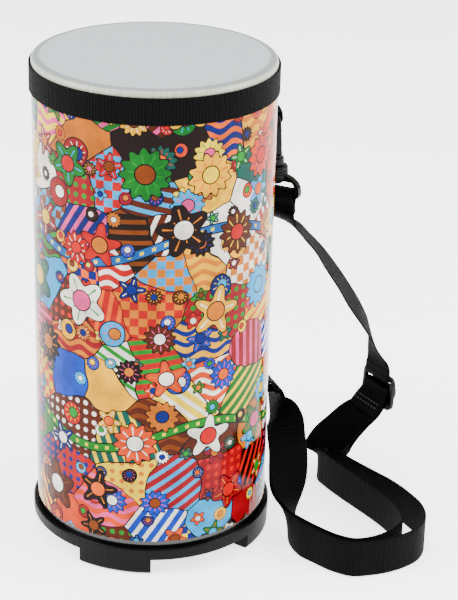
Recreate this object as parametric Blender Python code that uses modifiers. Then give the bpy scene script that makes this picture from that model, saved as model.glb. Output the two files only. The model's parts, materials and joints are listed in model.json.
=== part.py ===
import math

import bmesh
import bpy
from mathutils import Matrix, Vector

# A small straight-sided conga: tube, printed wrap, film head, webbing rim band,
# moulded foot ring, two webbing tabs with swivel hooks, and a carrying strap.
# Axis +Z, floor at z = 0, front at -Y. Angles run from the front towards +X.
# Lengths below are in millimetres and are turned to metres by MM.

MM = 0.001

TUBE_R, TUBE_WALL = 72.2, 5.0
TUBE_Z0, TUBE_Z1 = 13.6, 308.8
WRAP_R0, WRAP_R1 = 72.5, 73.0
WRAP_Z0, WRAP_Z1 = 22.1, 290.6
HEAD_Z, HEAD_T, HEAD_R = 309.8, 0.5, 72.95
HEAD_SKIRT_Z, HEAD_SHOULDER = 291.0, 3.2
BAND_R0, BAND_T, BAND_LAP = 73.25, 1.1, 16.0
BAND_Z0, BAND_Z1 = 289.9, 305.8
RING_R, RING_TOP, RING_BOTTOM = 75.7, 17.7, 10.3
RING_BORE, RING_SEAT = 64.0, 13.3
FOOT_SPAN, FOOT_FIRST = 36.0, -15.5
UPPER_AZ, LOWER_AZ = 117.0, 128.0
HOOK_R, HOOK_LEAN = 82.0, 3.5
UPPER_Z, LOWER_Z = 255.1, 30.5
TAB_W, TAB_T = 16.0, 1.1
WEB_W, WEB_T = 25.0, 1.3
SEG = 96

for old in list(bpy.data.objects):
    bpy.data.objects.remove(old, do_unlink=True)

PARTS = bpy.data.collections.new("conga_drum")
CUTS = bpy.data.collections.new("cutters")
bpy.context.scene.collection.children.link(PARTS)
bpy.context.scene.collection.children.link(CUTS)


def material(name, colour, rough, metal=0.0, alpha=1.0):
    mat = bpy.data.materials.new(name)
    mat.use_nodes = True
    bsdf = mat.node_tree.nodes["Principled BSDF"]
    bsdf.inputs["Base Color"].default_value = (*colour, 1.0)
    bsdf.inputs["Roughness"].default_value = rough
    bsdf.inputs["Metallic"].default_value = metal
    bsdf.inputs["Alpha"].default_value = alpha
    return mat


LOOKS = {
    "tube": ((0.01, 0.01, 0.01), 0.3, 0.0),
    "wrap": ((0.55, 0.25, 0.15), 0.2, 0.0),
    "head": ((0.62, 0.64, 0.66), 0.35, 0.0),
    "band": ((0.015, 0.015, 0.016), 0.8, 0.0),
    "ring": ((0.02, 0.02, 0.022), 0.5, 0.0),
    "hook": ((0.02, 0.02, 0.02), 0.35, 0.0),
    "steel": ((0.55, 0.55, 0.56), 0.35, 1.0),
    "web": ((0.012, 0.012, 0.013), 0.85, 0.0),
}


def add(name, mesh, look, coll=None, matrix=None, smooth=None):
    obj = bpy.data.objects.new(name, mesh)
    (coll or PARTS).objects.link(obj)
    if coll is CUTS:
        obj.hide_render = True
        obj.display_type = "WIRE"
    else:
        colour, rough, metal = LOOKS[look]
        obj.data.materials.append(material(name, colour, rough, metal))
    if matrix is not None:
        obj.matrix_world = matrix
    if smooth is not None:
        mesh.shade_smooth() if smooth else mesh.shade_flat()
    return obj


def mesh_from(name, verts, faces):
    mesh = bpy.data.meshes.new(name)
    mesh.from_pydata([[c * MM for c in v] for v in verts], [], faces)
    mesh.update()
    return mesh


def revolve(name, profile, look, coll=None, matrix=None, steps=SEG):
    """Turn a closed (r, z) profile round the local Z axis."""
    n = len(profile)
    closed = profile[0][0] > 1e-6 and profile[-1][0] > 1e-6
    verts = [(r, 0.0, z) for r, z in profile]
    mesh = bpy.data.meshes.new(name)
    edges = [(i, i + 1) for i in range(n - 1)] + ([(n - 1, 0)] if closed else [])
    mesh.from_pydata([[c * MM for c in v] for v in verts], edges, [])
    obj = add(name, mesh, look, coll, matrix)
    mod = obj.modifiers.new("Screw", "SCREW")
    mod.axis = "Z"
    mod.angle = math.tau
    mod.steps = mod.render_steps = steps
    mod.use_merge_vertices = True
    mod.merge_threshold = 0.00002
    mod.use_smooth_shade = True
    return obj


def extrude(name, outline, half, look, coll=None, matrix=None, holes=()):
    """A flat outline in local (x, z) given a thickness of 2 * half along y."""
    bm = bmesh.new()
    loops = [outline, *holes]
    rings = []
    for loop in loops:
        rings.append([bm.verts.new((x * MM, -half * MM, z * MM)) for x, z in loop])
    edges = []
    for ring in rings:
        edges += [bm.edges.new((ring[i], ring[(i + 1) % len(ring)])) for i in range(len(ring))]
    if holes:
        bmesh.ops.triangle_fill(bm, use_beauty=True, edges=edges)
    else:
        bm.faces.new(rings[0])
    faces = list(bm.faces)
    out = bmesh.ops.extrude_face_region(bm, geom=faces)
    moved = [g for g in out["geom"] if isinstance(g, bmesh.types.BMVert)]
    bmesh.ops.translate(bm, verts=moved, vec=(0.0, 2.0 * half * MM, 0.0))
    bmesh.ops.recalc_face_normals(bm, faces=bm.faces)
    mesh = bpy.data.meshes.new(name)
    bm.to_mesh(mesh)
    bm.free()
    return add(name, mesh, look, coll, matrix)


def boolean(obj, cutter, how):
    mod = obj.modifiers.new("Boolean", "BOOLEAN")
    mod.operation = how
    mod.solver = "EXACT"
    mod.object = cutter


def bevel(obj, width, segments=2, angle=35.0):
    mod = obj.modifiers.new("Bevel", "BEVEL")
    mod.width = width * MM
    mod.segments = segments
    mod.limit_method = "ANGLE"
    mod.angle_limit = math.radians(angle)


def arc(cx, cz, r, a0, a1, n):
    return [(cx + r * math.cos(math.radians(a0 + (a1 - a0) * i / n)),
             cz + r * math.sin(math.radians(a0 + (a1 - a0) * i / n))) for i in range(n + 1)]


def polar(az, r, z):
    a = math.radians(az)
    return Vector((r * math.sin(a), -r * math.cos(a), z))


def frame_at(point, x_dir, y_dir, z_dir):
    m = Matrix.Identity(4)
    for i, v in enumerate((x_dir, y_dir, z_dir)):
        v = v.normalized()
        for k in range(3):
            m[k][i] = v[k]
    for k in range(3):
        m[k][3] = point[k] * MM
    return m


# ---------------------------------------------------------------- the drum
revolve("shell_tube", [(TUBE_R - TUBE_WALL, TUBE_Z1 - 1.5), (TUBE_R - TUBE_WALL + 1.5, TUBE_Z1),
                       (TUBE_R - 1.5, TUBE_Z1), (TUBE_R, TUBE_Z1 - 1.5),
                       (TUBE_R, TUBE_Z0), (TUBE_R - TUBE_WALL, TUBE_Z0)], "tube")
revolve("shell_wrap", [(WRAP_R0, WRAP_Z1), (WRAP_R1, WRAP_Z1), (WRAP_R1, WRAP_Z0), (WRAP_R0, WRAP_Z0)], "wrap")

shoulder_c = HEAD_R - HEAD_SHOULDER
head = [(0.0, HEAD_Z)] + arc(shoulder_c, HEAD_Z - HEAD_SHOULDER, HEAD_SHOULDER, 90, 0, 6)
head += [(HEAD_R, HEAD_SKIRT_Z), (HEAD_R - HEAD_T + 0.05, HEAD_SKIRT_Z)]
head += arc(shoulder_c, HEAD_Z - HEAD_SHOULDER, HEAD_SHOULDER - HEAD_T + 0.05, 0, 90, 6)
head += [(0.0, HEAD_Z - HEAD_T + 0.05)]
revolve("drumhead", head, "head")


def strip(name, rows, thickness, look, smooth=True, matrix=None):
    """Webbing: rows of points across the strip, one row per station, given a thickness."""
    across = len(rows[0])
    verts = [p for row in rows for p in row]
    faces = []
    for i in range(len(rows) - 1):
        for j in range(across - 1):
            a = i * across + j
            faces.append((a, a + 1, a + across + 1, a + across))
    mesh = mesh_from(name, verts, faces)
    obj = add(name, mesh, look, None, matrix, smooth)
    mod = obj.modifiers.new("Solidify", "SOLIDIFY")
    mod.thickness = thickness * MM
    mod.offset = 0.0
    mod.use_even_offset = True
    return obj


def band_rows():
    rows = []
    turn = 360.0 + BAND_LAP
    count = 150
    start = 180.0 - BAND_LAP / 2.0
    for i in range(count + 1):
        a = turn * i / count
        lift = max(0.0, min(1.0, (a - (360.0 - 10.0)) / 8.0))
        lift = lift * lift * (3.0 - 2.0 * lift)
        r = BAND_R0 + BAND_T / 2.0 + lift * (BAND_T + 0.3)
        rows.append([polar(start + a, r, BAND_Z0), polar(start + a, r, BAND_Z1)])
    return rows


strip("rim_band", band_rows(), BAND_T, "band")


def ring_feet():
    """Wedge cutters: the spaces between the four feet under the ring."""
    for k in range(4):
        a0 = FOOT_FIRST + 90.0 * k + FOOT_SPAN / 2.0
        a1 = FOOT_FIRST + 90.0 * (k + 1) - FOOT_SPAN / 2.0
        ring = [(0.0, 0.0)]
        steps = 14
        for i in range(steps + 1):
            p = polar(a0 + (a1 - a0) * i / steps, 90.0, 0.0)
            ring.append((p.x, p.y))
        n = len(ring)
        verts = [(x, y, -3.0) for x, y in ring] + [(x, y, RING_BOTTOM) for x, y in ring]
        faces = [tuple(range(n - 1, -1, -1)), tuple(range(n, 2 * n))]
        faces += [(i, (i + 1) % n, n + (i + 1) % n, n + i) for i in range(n)]
        yield add(f"foot_gap_{k + 1}", mesh_from(f"foot_gap_{k + 1}", verts, faces), None, CUTS)


ring_profile = [(TUBE_R + 0.3, RING_TOP), (RING_R - 0.8, RING_TOP), (RING_R, RING_TOP - 0.8),
                (RING_R, RING_BOTTOM + 0.35), (RING_R - 0.35, RING_BOTTOM), (RING_R - 0.35, 1.8),
                (RING_R - 2.2, 0.0), (RING_BORE + 1.5, 0.0), (RING_BORE, 1.5), (RING_BORE, RING_SEAT - 0.5),
                (RING_BORE + 0.5, RING_SEAT), (TUBE_R + 0.3, RING_SEAT)]
foot_ring = revolve("foot_ring", ring_profile, "ring")
for cutter in ring_feet():
    boolean(foot_ring, cutter, "DIFFERENCE")

# ---------------------------------------------------------------- the hooks
UP = Vector((0.0, 0.0, 1.0))


def radial(az):
    return polar(az, 1.0, 0.0).normalized()


def tangent(az):
    """Along the drum's side, towards the front."""
    return radial(az).cross(UP)



def hook_frame(az, z, down, yaw):
    """Origin at the crook's centre; local -Z runs along the hook to its loop."""
    lean = math.radians(HOOK_LEAN)
    out = radial(az)
    along = out * math.sin(lean) + UP * (-math.cos(lean) if down else math.cos(lean))
    z_dir = -along
    y_dir = (out - z_dir * out.dot(z_dir)).normalized()
    x_dir = y_dir.cross(z_dir)
    m = frame_at(polar(az, HOOK_R, z), x_dir, y_dir, z_dir)
    return m @ Matrix.Rotation(math.radians(yaw), 4, "Z")


def loop_frame(hook, heading):
    """The swivel loop's frame: same axis, its width turned to a heading in plan."""
    z_dir = hook.col[2].xyz.normalized()
    want = Vector((math.cos(math.radians(heading)), math.sin(math.radians(heading)), 0.0))
    x_dir = (want - z_dir * want.dot(z_dir)).normalized()
    y_dir = z_dir.cross(x_dir)
    origin = hook @ Vector((0.0, 0.0, -25.7 * MM))
    return frame_at(origin / MM, x_dir, y_dir, z_dir)


CROOK_IN, CROOK_OUT, HOOK_T = 5.5, 9.9, 2.2
PIVOT = (-6.9, -12.9)


def hook_outline():
    pts = arc(0, 0, CROOK_OUT, 180, 0, 16)                      # nose side over the top to the spine
    pts += [(9.9, -9.5), (9.3, -13.0), (7.6, -16.2), (4.6, -18.9), (-4.6, -18.9), (-8.2, -16.8)]
    pts += arc(PIVOT[0], PIVOT[1], 2.9, 215, 75, 6)
    pts += [(-3.2, -12.6), (-1.0, -13.6), (3.0, -12.6), (5.2, -9.5)]
    pts += arc(0, 0, CROOK_IN, 0, 180, 12)
    pts += [(-5.5, -2.4), (-6.3, -2.9), (-9.0, -2.9), (-9.9, -2.2)]
    return pts


def gate_outline():
    pts = [(-9.5, -3.9), (-8.9, -3.2), (-6.0, -3.2), (-5.7, -3.5), (-5.2, -3.2), (-5.2, -1.4),
           (-3.9, -1.4), (-3.7, -3.6), (-4.8, -6.0), (-5.3, -10.6)]
    pts += arc(PIVOT[0], PIVOT[1], 1.9, 25, -205, 10)
    pts += [(-9.3, -10.4)]
    return pts


def make_hook(tag, az, z, down, yaw, heading):
    hook = hook_frame(az, z, down, yaw)
    body = extrude(f"{tag}_hook_body", hook_outline(), HOOK_T, "hook", matrix=hook)
    bevel(body, 0.7)
    shank = revolve(f"{tag}_shank", [(0.0, -17.4), (3.9, -17.4), (3.9, -20.2), (4.9, -20.8), (4.9, -24.8),
                                     (4.4, -25.3), (2.2, -25.3), (2.2, -35.9), (4.0, -35.9), (4.0, -36.9),
                                     (3.2, -37.5), (0.0, -37.5)], None, CUTS, hook, 24)
    boolean(body, shank, "UNION")
    slot = extrude(f"{tag}_gate_slot", [(-12.5, -11.0), (-5.1, -7.0), (-3.9, -11.0), (-4.4, -15.3), (-12.5, -15.3)],
                   1.4, None, CUTS, hook)
    boolean(body, slot, "DIFFERENCE")
    turn = hook @ Matrix.Translation((PIVOT[0] * MM, 0.0, PIVOT[1] * MM)) @ Matrix.Rotation(math.radians(90.0), 4, "X")
    bore = revolve(f"{tag}_gate_bore", [(0.0, 6.0), (0.95, 6.0), (0.95, -6.0), (0.0, -6.0)], None, CUTS, turn, 16)
    boolean(body, bore, "DIFFERENCE")

    gate = extrude(f"{tag}_gate", [(x - PIVOT[0], z_ - PIVOT[1]) for x, z_ in gate_outline()], 0.9, "hook",
                   matrix=hook @ Matrix.Translation((PIVOT[0] * MM, 0.0, PIVOT[1] * MM)))
    bevel(gate, 0.25, 1, 60.0)
    gate_bore = revolve(f"{tag}_gate_hole", [(0.0, 6.0), (0.95, 6.0), (0.95, -6.0), (0.0, -6.0)], None, CUTS, turn, 16)
    boolean(gate, gate_bore, "DIFFERENCE")
    revolve(f"{tag}_gate_pin", [(0.0, 2.1), (0.65, 2.1), (0.65, -2.1), (0.0, -2.1)], "steel", None, turn, 16)

    swivel = loop_frame(hook, heading)
    outer = [(7.0, -5.6), (11.0, -7.0), (14.6, -9.6), (16.3, -12.6), (16.5, -15.6)]
    outer += arc(13.1, -17.2, 3.4, 0, -90, 5)
    right = outer[:]
    left = [(-x, z_) for x, z_ in reversed(right)]
    window = [(11.4, -9.9), (12.8, -11.4), (12.95, -12.6), (12.95, -15.9), (12.85, -16.0)]
    window = window + [(-x, z_) for x, z_ in reversed(window)]
    loop = extrude(f"{tag}_swivel_loop", right + left, 1.8, "hook", matrix=swivel, holes=[window[::-1]])
    bevel(loop, 0.5)
    ribs = [(0.0, 0.0), (6.3, 0.0), (7.0, -0.6)]
    for k in range(3):
        z0 = -1.5 - 1.8 * k
        ribs += [(7.3, z0), (7.3, z0 - 0.9), (6.7, z0 - 1.1), (6.7, z0 - 1.6)]
    ribs += [(7.2, -7.4), (5.6, -9.3), (0.0, -9.5)]
    barrel = revolve(f"{tag}_barrel", ribs, None, CUTS, swivel, 32)
    throat = revolve(f"{tag}_throat", [(0.0, 3.0), (2.5, 3.0), (2.5, -14.0), (0.0, -14.0)], None, CUTS, swivel, 32)
    head_room = revolve(f"{tag}_head_room", [(0.0, -9.9), (4.4, -9.9), (4.4, -12.2), (0.0, -12.2)], None, CUTS, swivel, 32)
    boolean(loop, barrel, "UNION")
    boolean(loop, throat, "DIFFERENCE")
    boolean(loop, head_room, "DIFFERENCE")
    return hook, swivel


UPPER_HOOK, UPPER_LOOP = make_hook("upper", UPPER_AZ, UPPER_Z, True, -18.0, -31.0)
LOWER_HOOK, LOWER_LOOP = make_hook("lower", LOWER_AZ, LOWER_Z, False, 0.0, -70.0)


# ---------------------------------------------------------------- the tabs
def tab_rows(az, hook, z_base, z_flat, r_in):
    """A folded webbing tab: flat on the drum at its base, round the hook's crook at its fold."""
    gap = TAB_T / 2.0 + 0.85
    rc = (CROOK_IN + CROOK_OUT) / 2.0
    d = HOOK_T + gap
    flip = 1.0 if hook.col[0].xyz.dot(tangent(az)) > 0.0 else -1.0
    rows = []

    def row(kind, t, side):
        out = []
        for j in range(5):
            v = -1.0 + 0.5 * j
            flat_r = r_in + TAB_T / 2.0 + (TAB_T + 0.3 if side > 0 else 0.0)
            base = radial(az) * flat_r + tangent(az) * (v * TAB_W / 2.0)
            if kind == "base":
                p = base + UP * (z_base + (z_flat - z_base) * t)
            else:
                beta = t if kind == "fold" else side * 90.0
                rho = rc - d * math.cos(math.radians(beta))
                psi = flip * v * 4.9 / max(rho, 4.2)
                local = Vector((rho * math.sin(psi), d * math.sin(math.radians(beta)), rho * math.cos(psi)))
                fold = (hook @ (local * MM)) / MM
                if kind == "fold":
                    p = fold
                else:
                    away = hook.col[2].xyz.normalized()
                    reach = abs(fold.z - z_flat) * 0.75 + 1.0
                    ends = (fold, fold + away * reach, base + UP * z_flat - away * reach, base + UP * z_flat)
                    p = sum((c * q for c, q in zip(((1 - t) ** 3, 3 * t * (1 - t) ** 2, 3 * t * t * (1 - t), t ** 3),
                                                   ends)), Vector())
            out.append(p)
        return out

    rows += [row("base", i / 3.0, 1) for i in range(4)]
    rows += [row("web", 1.0 - i / 9.0, 1) for i in range(1, 9)]
    rows += [row("fold", 90.0 - 180.0 * i / 12.0, 1) for i in range(13)]
    rows += [row("web", i / 9.0, -1) for i in range(1, 9)]
    rows += [row("base", 1.0 - i / 3.0, -1) for i in range(4)]
    return rows


upper_tab = strip("upper_tab", tab_rows(UPPER_AZ, UPPER_HOOK, 287.6, 274.5, WRAP_R1 + 0.3), TAB_T, "web")
lower_tab = strip("lower_tab", tab_rows(LOWER_AZ, LOWER_HOOK, 10.9, 16.4, RING_R + 0.3), TAB_T, "web")


def radial_frame(az, z, r, side):
    """Local +Z points out of the drum along the radius."""
    out = radial(az)
    return frame_at(out * r + tangent(az) * side + UP * z, UP, out.cross(UP), out)


UPPER_SEAT = WRAP_R1 + 0.3 + 2 * TAB_T + 0.3 + 0.3
LOWER_SEAT = RING_R + 0.3 + 2 * TAB_T + 0.3 + 0.3
for k, side in enumerate((-4.2, 4.2), 1):
    seat = radial_frame(UPPER_AZ, 281.6, UPPER_SEAT, side)
    revolve(f"upper_tab_screw_{k}", [(0.0, 1.7), (1.6, 1.5), (2.6, 0.8), (2.8, 0.0), (1.3, 0.0),
                                     (1.3, -14.4), (0.0, -14.4)], "steel", None, seat, 20)
    hole = revolve(f"upper_screw_way_{k}", [(0.0, 6.0), (1.6, 6.0), (1.6, -20.0), (0.0, -20.0)], None, CUTS, seat, 20)
    boolean(upper_tab, hole, "DIFFERENCE")
    for name in ("shell_wrap", "shell_tube"):
        boolean(bpy.data.objects[name], hole, "DIFFERENCE")
    nut = extrude(f"upper_tab_nut_{k}", arc(0, 0, 3.0, 0, 300, 5), 1.1, "steel", holes=[arc(0, 0, 1.6, 337.5, 0, 15)],
                  matrix=seat @ Matrix.Translation((0.0, 0.0, -12.2 * MM)) @ Matrix.Rotation(math.radians(90.0), 4, "X"))
    seat = radial_frame(LOWER_AZ, 14.1, LOWER_SEAT, side)
    revolve(f"lower_tab_screw_{k}", [(0.0, 1.7), (1.6, 1.5), (2.5, 0.8), (2.7, 0.0), (1.1, 0.0),
                                     (1.1, -4.6), (0.0, -5.6)], "steel", None, seat, 20)
    hole = revolve(f"lower_screw_way_{k}", [(0.0, 6.0), (1.4, 6.0), (1.4, -6.0), (0.0, -6.0)], None, CUTS, seat, 20)
    boolean(lower_tab, hole, "DIFFERENCE")
    boolean(foot_ring, hole, "DIFFERENCE")


# ---------------------------------------------------------------- the strap
def spline(points, per):
    """A smooth curve through (position, width direction) pairs, slopes set by chord length."""
    pos = [Vector(p) for p, _ in points]
    gap = [(b - a).length for a, b in zip(pos, pos[1:])]

    def slopes(vals):
        out = []
        for i in range(len(vals)):
            if i == 0:
                m = (vals[1] - vals[0]) / gap[0]
            elif i == len(vals) - 1:
                m = (vals[-1] - vals[-2]) / gap[-1]
            else:
                m = ((vals[i] - vals[i - 1]) * (gap[i] / gap[i - 1])
                     + (vals[i + 1] - vals[i]) * (gap[i - 1] / gap[i])) / (gap[i - 1] + gap[i])
            out.append(m)
        return out

    sets = [pos, [Vector(w).normalized() for _, w in points]]
    tang = [slopes(v) for v in sets]
    out = []
    for i in range(len(points) - 1):
        for k in range(per):
            t = k / per
            h = (2 * t ** 3 - 3 * t * t + 1, t ** 3 - 2 * t * t + t, -2 * t ** 3 + 3 * t * t, t ** 3 - t * t)
            out.append(tuple(v[i] * h[0] + m[i] * (gap[i] * h[1]) + v[i + 1] * h[2] + m[i + 1] * (gap[i] * h[3])
                             for v, m in zip(sets, tang)))
    out.append((sets[0][-1], sets[1][-1]))
    return out


def web_rows(points, per=4, width=WEB_W):
    rows = []
    path = spline(points, per)
    for i, (p, w) in enumerate(path):
        a = path[max(0, i - 1)][0]
        b = path[min(len(path) - 1, i + 1)][0]
        t = (b - a).normalized()
        w = (w - t * w.dot(t)).normalized() * (width / 2.0)
        rows.append([p - w, p + w])
    return rows


def bar_path(half_y, half_z, n=4):
    """Half way round a bar of rounded section, from (+y, 0) over the top to (-y, 0)."""
    gap = WEB_T / 2.0 + 0.4
    cy, cz = half_y - 0.5, half_z - 0.5
    return arc(cy, cz, gap + 0.5, 0, 90, n) + arc(-cy, cz, gap + 0.5, 90, 180, n)


BAR_Z = -18.3


def at(frame, x, y, z):
    return (frame @ Vector((x * MM, y * MM, z * MM))) / MM


def heading(a, tilt=0.0):
    a, tilt = math.radians(a), math.radians(tilt)
    return Vector((math.cos(a) * math.cos(tilt), math.sin(a) * math.cos(tilt), math.sin(tilt)))


# slider: local x across the webbing, local y its normal, local z towards the upper hook
SLIDER_AT = Vector((149.1, 70.0, 61.4))
SLIDER_UP = Vector((0.05, 0.0, 1.0)).normalized()
SLIDER_X = heading(-55.0, 7.0)
SLIDER_X = (SLIDER_X - SLIDER_UP * SLIDER_X.dot(SLIDER_UP)).normalized()
SLIDER = frame_at(SLIDER_AT, SLIDER_X, SLIDER_UP.cross(SLIDER_X), SLIDER_UP)

frame_out = (arc(10.8, -7.2, 4.8, 0, -90, 6) + arc(-10.8, -7.2, 4.8, -90, -180, 6)
             + arc(-10.8, 7.2, 4.8, 180, 90, 6) + arc(10.8, 7.2, 4.8, 90, 0, 6))
slot_a = [(12.9, 8.9), (12.9, 2.2), (-12.9, 2.2), (-12.9, 8.9)]
slot_b = [(12.9, -2.2), (12.9, -8.9), (-12.9, -8.9), (-12.9, -2.2)]
slider = extrude("slider", frame_out[::-1], 1.5, "hook", matrix=SLIDER, holes=[slot_a, slot_b])
bevel(slider, 0.5)


def in_slider(points):
    """Stations given in the slider's own (y, z), the webbing's width along its x."""
    return [(at(SLIDER, 0.0, y, z), SLIDER_X) for y, z in points]


def lower_leg(y, z):
    return (at(LOWER_LOOP, 0.0, y, z), LOWER_LOOP.col[0].xyz.normalized())


def beside(stations, gap):
    """The same route taken back the other way, lying on the webbing's other face."""
    out = []
    for i, (p, w) in enumerate(stations):
        a, b = Vector(stations[max(0, i - 1)][0]), Vector(stations[min(len(stations) - 1, i + 1)][0])
        t = (b - a).normalized()
        w = (w - t * w.dot(t)).normalized()
        out.append((Vector(p) + w.cross(t).normalized() * gap, w))
    return out[::-1]


DOWN = Vector((0.0, 0.0, -1.0))
FLOOR = WEB_W / 2.0 + 0.4


def on_floor(points):
    return [((x, y, FLOOR), DOWN) for x, y in points]


# the end sewn round the upper loop's bar: its short leg, round the bar, and its long leg
UX = UPPER_LOOP.col[0].xyz.normalized()
NEAR, WIDE = WEB_T / 2.0 + 0.2, 1.8 + WEB_T / 2.0 + 0.4
LEG = [(NEAR, -10.6), (NEAR, -7.0), (NEAR + 0.5, -5.3), (WIDE - 0.5, -3.4), (WIDE, -2.0)]
upper_end = [(-y, z) for y, z in LEG] + bar_path(1.8, 2.3)[::-1] + LEG[::-1]
strap = [(at(UPPER_LOOP, 0.0, y, BAR_Z + z), UX) for y, z in upper_end]

# the run down to the slider
strap += [
    (at(UPPER_LOOP, 0.0, NEAR, BAR_Z - 13.0), UX),
    ((81.0, 41.6, 191.6), heading(-50.0)),
    ((90.8, 44.4, 184.2), heading(-79.0, -5.0)),
    ((99.4, 46.8, 174.2), heading(-81.0, -8.0)),
    ((107.3, 49.8, 162.9), heading(-86.0, -13.0)),
    ((116.0, 53.6, 149.4), heading(-88.0, -15.0)),
    ((126.0, 58.8, 132.0), heading(-91.0, -16.0)),
    ((135.2, 63.0, 116.3), heading(-88.0, -15.0)),
    ((140.5, 66.0, 105.5), heading(-85.0, -12.0)),
    ((143.5, 67.8, 95.5), heading(-79.0, -7.0)),
    ((145.9, 68.8, 87.0), heading(-67.0, -2.0)),
]
# its weave: behind the top bar, over the middle one, behind the bottom one
strap += in_slider([(-2.55, 17.0), (-2.55, 12.8), (-2.55, 9.6), (-1.6, 7.7), (0.3, 6.5), (2.7, 5.0), (4.4, 2.8),
                    (4.8, 0.0), (4.4, -2.8), (2.7, -5.0), (0.3, -6.5), (-1.9, -8.1), (-4.3, -10.5), (-7.4, -14.4)])
# the outer strand: down to the floor, round the right turn, along the front, up to the lower hook
strap += [((135.4, 64.6, 41.6), heading(-61.0, -22.0)), ((126.2, 63.6, 31.6), heading(-58.0, -45.0)),
          ((119.8, 62.0, 20.8), heading(-58.0, -70.0)), ((117.0, 58.4, 14.6), heading(-62.0, -84.0))]
strap += on_floor([(117.8, 53.4), (122.2, 46.6), (129.5, 37.0), (143.0, 21.5), (155.5, 7.5), (166.0, -8.5),
                   (173.0, -24.0), (174.0, -38.0), (169.5, -50.5), (160.0, -60.0), (148.5, -66.8), (138.0, -70.2),
                   (127.5, -71.8), (117.0, -67.5), (104.4, -57.3), (94.4, -47.0)])
rise = [((89.0, -36.5, 13.7), heading(66.0, -82.0)), ((86.4, -26.5, 18.6), heading(52.0, -58.0)),
        ((85.6, -15.5, 27.0), heading(30.0, -28.0)), ((87.4, -4.0, 34.0), heading(12.0, -12.0)),
        ((88.0, 12.0, 39.5), heading(2.0, -6.0)), ((87.0, 30.0, 43.0), heading(-14.0, -4.0)),
        ((86.2, 44.5, 48.5), heading(-40.0, -2.0)), ((82.6, 53.2, 57.4), heading(-66.0, 0.0))]
strap += rise
# round the lower loop's bar, both legs leaving outward
strap += [lower_leg(y, BAR_Z + z) for y, z in
          [(-13.2, 4.8), (-9.2, 0.4), (-5.6, -1.4), (-2.9, -2.8), (-1.2, -3.35), (1.3, -3.3), (2.6, -2.5), (2.95, 0.0),
           (2.6, 2.5), (1.2, 3.5), (-1.0, 4.0), (-3.6, 4.4), (-6.4, 4.6), (-8.8, 5.0)]]
# the inner strand: back down on the other face, along inside the outer one, to the slider
strap += [(at(LOWER_LOOP, 0.0, -11.6, BAR_Z + 7.6), LOWER_LOOP.col[0].xyz.normalized())]
strap += beside(rise, 2.5)
strap += on_floor([(96.9, -45.4), (106.6, -54.9), (118.6, -64.2), (128.0, -67.8), (138.0, -65.6), (147.0, -60.0),
                   (154.5, -52.5), (159.0, -43.0), (158.0, -31.0), (153.0, -17.0), (144.5, -2.5), (134.0, 12.5),
                   (123.0, 28.0), (114.2, 42.0), (110.4, 50.0)])
strap += [((110.6, 56.2, 15.2), heading(-62.0, -82.0)), ((114.4, 58.6, 23.4), heading(-58.0, -66.0)),
          ((123.8, 60.0, 34.4), heading(-58.0, -44.0)), ((133.4, 62.3, 44.4), heading(-61.0, -22.0))]
# the end sewn round the slider's middle bar
strap += in_slider([(-9.4, -12.3), (-6.2, -8.6), (-3.5, -6.0), (-1.3, -4.6), (0.6, -4.0),
                    (2.1, -3.1), (2.8, -1.2), (2.8, 1.2), (1.9, 3.1), (0.0, 3.6), (-1.9, 3.1), (-2.8, 1.2),
                    (-3.0, -1.2), (-4.3, -3.5), (-6.3, -5.4), (-8.6, -7.6), (-11.0, -10.2), (-13.6, -13.2)])
strip("strap", web_rows(strap, 3), WEB_T, "web")
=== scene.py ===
import json
import math

import bmesh
import bpy
from mathutils import Matrix, Quaternion, Vector

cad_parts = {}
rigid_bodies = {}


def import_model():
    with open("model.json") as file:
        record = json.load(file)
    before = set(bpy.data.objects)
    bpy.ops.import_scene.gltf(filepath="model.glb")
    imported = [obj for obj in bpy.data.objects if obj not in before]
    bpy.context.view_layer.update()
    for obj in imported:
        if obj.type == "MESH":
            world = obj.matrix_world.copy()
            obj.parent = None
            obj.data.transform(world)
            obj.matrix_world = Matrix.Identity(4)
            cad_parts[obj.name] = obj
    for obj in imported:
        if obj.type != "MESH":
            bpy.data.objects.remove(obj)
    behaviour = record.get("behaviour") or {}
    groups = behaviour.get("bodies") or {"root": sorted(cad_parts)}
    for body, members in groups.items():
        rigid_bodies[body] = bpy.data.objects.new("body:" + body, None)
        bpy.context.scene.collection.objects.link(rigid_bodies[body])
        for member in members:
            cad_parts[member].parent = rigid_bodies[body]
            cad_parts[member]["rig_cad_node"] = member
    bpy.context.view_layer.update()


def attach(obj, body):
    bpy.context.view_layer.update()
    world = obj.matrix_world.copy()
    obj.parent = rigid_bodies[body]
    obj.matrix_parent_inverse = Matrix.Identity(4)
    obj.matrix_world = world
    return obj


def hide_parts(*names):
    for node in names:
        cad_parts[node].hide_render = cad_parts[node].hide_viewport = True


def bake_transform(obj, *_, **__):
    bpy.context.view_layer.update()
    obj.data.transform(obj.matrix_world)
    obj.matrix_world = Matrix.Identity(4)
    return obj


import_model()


MM = 0.001


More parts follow.
